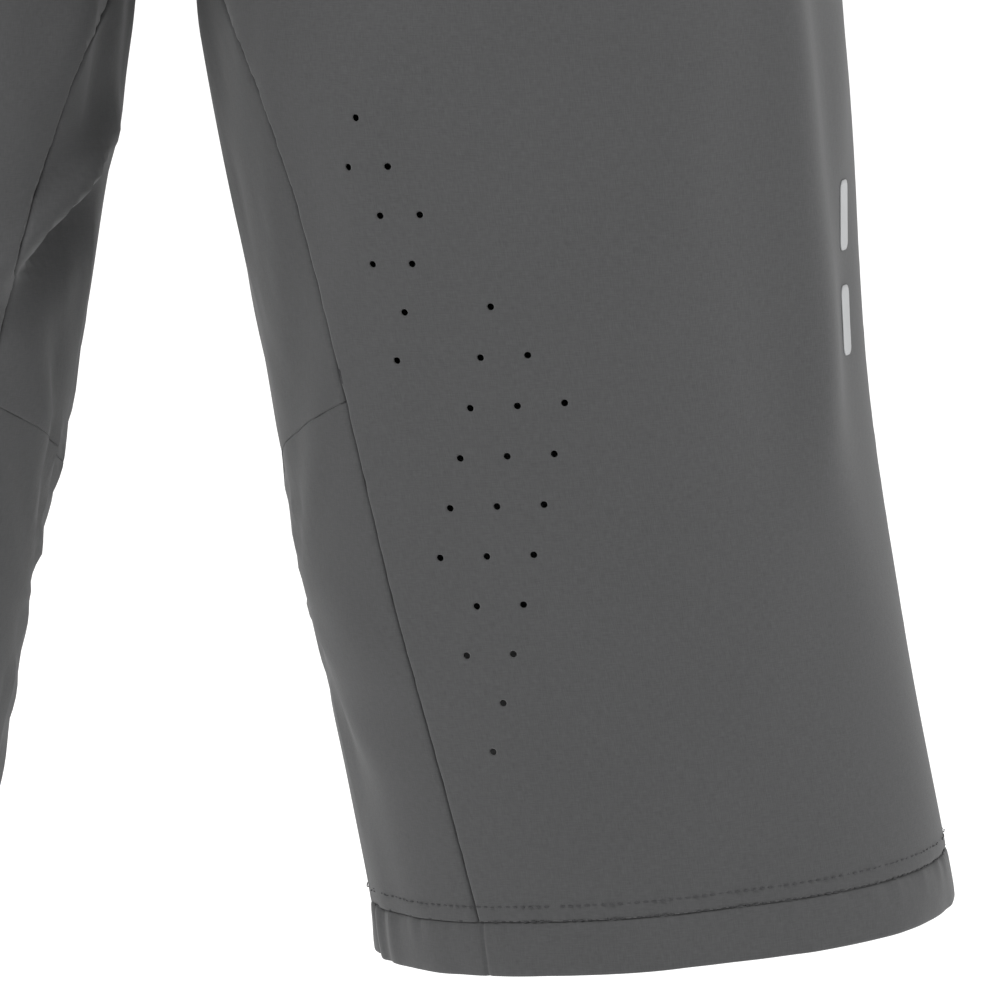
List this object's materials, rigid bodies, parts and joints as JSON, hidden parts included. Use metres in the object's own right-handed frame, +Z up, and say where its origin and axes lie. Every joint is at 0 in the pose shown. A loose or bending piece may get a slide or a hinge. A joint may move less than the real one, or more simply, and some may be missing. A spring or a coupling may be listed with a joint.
{
  "type": "padded impact shorts",
  "caption": "Loose woven over-shorts with zip fly, zip pockets and waist adjusters, over a close liner with foam impact pads.",
  "frame": {"origin": "centre of the waist opening, at the top edge of the waistband", "axes": "+Z up along the wearer, -Y to the wearer's front, +X to the wearer's left"},
  "size_m": [0.537, 0.2711, 0.6588],
  "materials": {
    "shell_fabric": "woven, matt",
    "lining_mesh": "knitted",
    "pad_cover": "knitted",
    "elastic": "ribbed elastic",
    "webbing": "woven tape",
    "foam": "closed-cell foam",
    "gripper": "silicone on elastic",
    "zip_coil": "moulded",
    "zip_metal": "gunmetal",
    "snap_metal": "matt black",
    "reflective": "reflective film"
  },
  "bodies": {
    "garment": {"adjuster_keeper_left": "webbing", "adjuster_keeper_right": "webbing", "adjuster_patch_left": "webbing", "adjuster_patch_right": "webbing", "back_panel_left": "shell_fabric", "back_panel_right": "shell_fabric", "crotch_gusset": "shell_fabric", "fly_coils": "zip_coil", "fly_stops": "zip_metal", "fly_tapes": "webbing", "fly_underlay": "shell_fabric", "front_panel_left": "shell_fabric", "front_panel_right": "shell_fabric", "hem_left": "shell_fabric", "hem_right": "shell_fabric", "hip_pad_cover_left": "pad_cover", "hip_pad_cover_right": "pad_cover", "hip_pad_left": "foam", "hip_pad_right": "foam", "inner_leg_panel_left": "shell_fabric", "inner_leg_panel_right": "shell_fabric", "leg_gripper_left": "gripper", "leg_gripper_right": "gripper", "liner_back": "lining_mesh", "liner_front": "lining_mesh", "liner_leg_left": "lining_mesh", "liner_leg_right": "lining_mesh", "liner_waistband": "elastic", "pocket_bag_left": "lining_mesh", "pocket_bag_right": "lining_mesh", "pocket_coils_left": "zip_coil", "pocket_coils_right": "zip_coil", "pocket_tapes_left": "webbing", "pocket_tapes_right": "webbing", "seat_pad_cover_left": "pad_cover", "seat_pad_cover_right": "pad_cover", "seat_pad_left": "foam", "seat_pad_right": "foam", "side_mark_left": "reflective", "side_mark_right": "reflective", "snap_studs": "snap_metal", "tail_pad": "foam", "tail_pad_cover": "pad_cover", "thigh_pad_cover_left": "pad_cover", "thigh_pad_cover_right": "pad_cover", "thigh_pad_left": "foam", "thigh_pad_right": "foam", "waistband": "shell_fabric", "waistband_facing": "lining_mesh"},
    "fly_slider": {"fly_slider": "zip_metal"},
    "fly_pull": {"fly_pull": "zip_metal"},
    "closure_tab": {"closure_tab": "shell_fabric", "snap_caps": "snap_metal", "snap_sockets": "snap_metal"},
    "pocket_slider_left": {"pocket_slider_left": "zip_metal"},
    "pocket_pull_left": {"pocket_pull_left": "zip_metal"},
    "adjuster_tab_left": {"adjuster_tab_left": "webbing"},
    "pocket_slider_right": {"pocket_slider_right": "zip_metal"},
    "pocket_pull_right": {"pocket_pull_right": "zip_metal"},
    "adjuster_tab_right": {"adjuster_tab_right": "webbing"}
  },
  "joints": [
    {"name": "fly_zip_slide", "type": "slide", "parent": "garment", "child": "fly_slider", "axis": [0, -0.1749, -0.9846], "range_m": [0, 0.1024]},
    {"name": "fly_pull_hinge", "type": "hinge", "parent": "fly_slider", "child": "fly_pull", "pos_m": [0, -0.11036, -0.05909], "axis": [-1, 0, 0], "range_deg": [0, 140]},
    {"name": "pocket_zip_slide_left", "type": "slide", "parent": "garment", "child": "pocket_slider_left", "axis": [0.4021, 0.0352, -0.9149], "range_m": [0, 0.1044]},
    {"name": "pocket_pull_hinge_left", "type": "hinge", "parent": "pocket_slider_left", "child": "pocket_pull_left", "pos_m": [0.11378, -0.08599, -0.08091], "axis": [-0.7393, -0.577, -0.3472], "range_deg": [0, 140]},
    {"name": "pocket_zip_slide_right", "type": "slide", "parent": "garment", "child": "pocket_slider_right", "axis": [-0.4021, 0.0352, -0.9149], "range_m": [0, 0.1044]},
    {"name": "pocket_pull_hinge_right", "type": "hinge", "parent": "pocket_slider_right", "child": "pocket_pull_right", "pos_m": [-0.11378, -0.08599, -0.08091], "axis": [-0.7393, 0.577, 0.3472], "range_deg": [0, 140]},
    {"name": "closure_tab_hinge", "type": "hinge", "parent": "garment", "child": "closure_tab", "pos_m": [0.01829, -0.11259, -0.03093], "axis": [0, -0.0872, 0.9962], "range_deg": [0, 100]},
    {"name": "adjuster_slide_left", "type": "hinge", "parent": "garment", "child": "adjuster_tab_left", "pos_m": [0.0753, 0.00183, -0.02092], "axis": [0, 0.0872, -0.9962], "range_deg": [0, 18]},
    {"name": "adjuster_slide_right", "type": "hinge", "parent": "garment", "child": "adjuster_tab_right", "pos_m": [-0.0753, 0.00183, -0.02092], "axis": [0, -0.0872, 0.9962], "range_deg": [0, 18]}
  ]
}
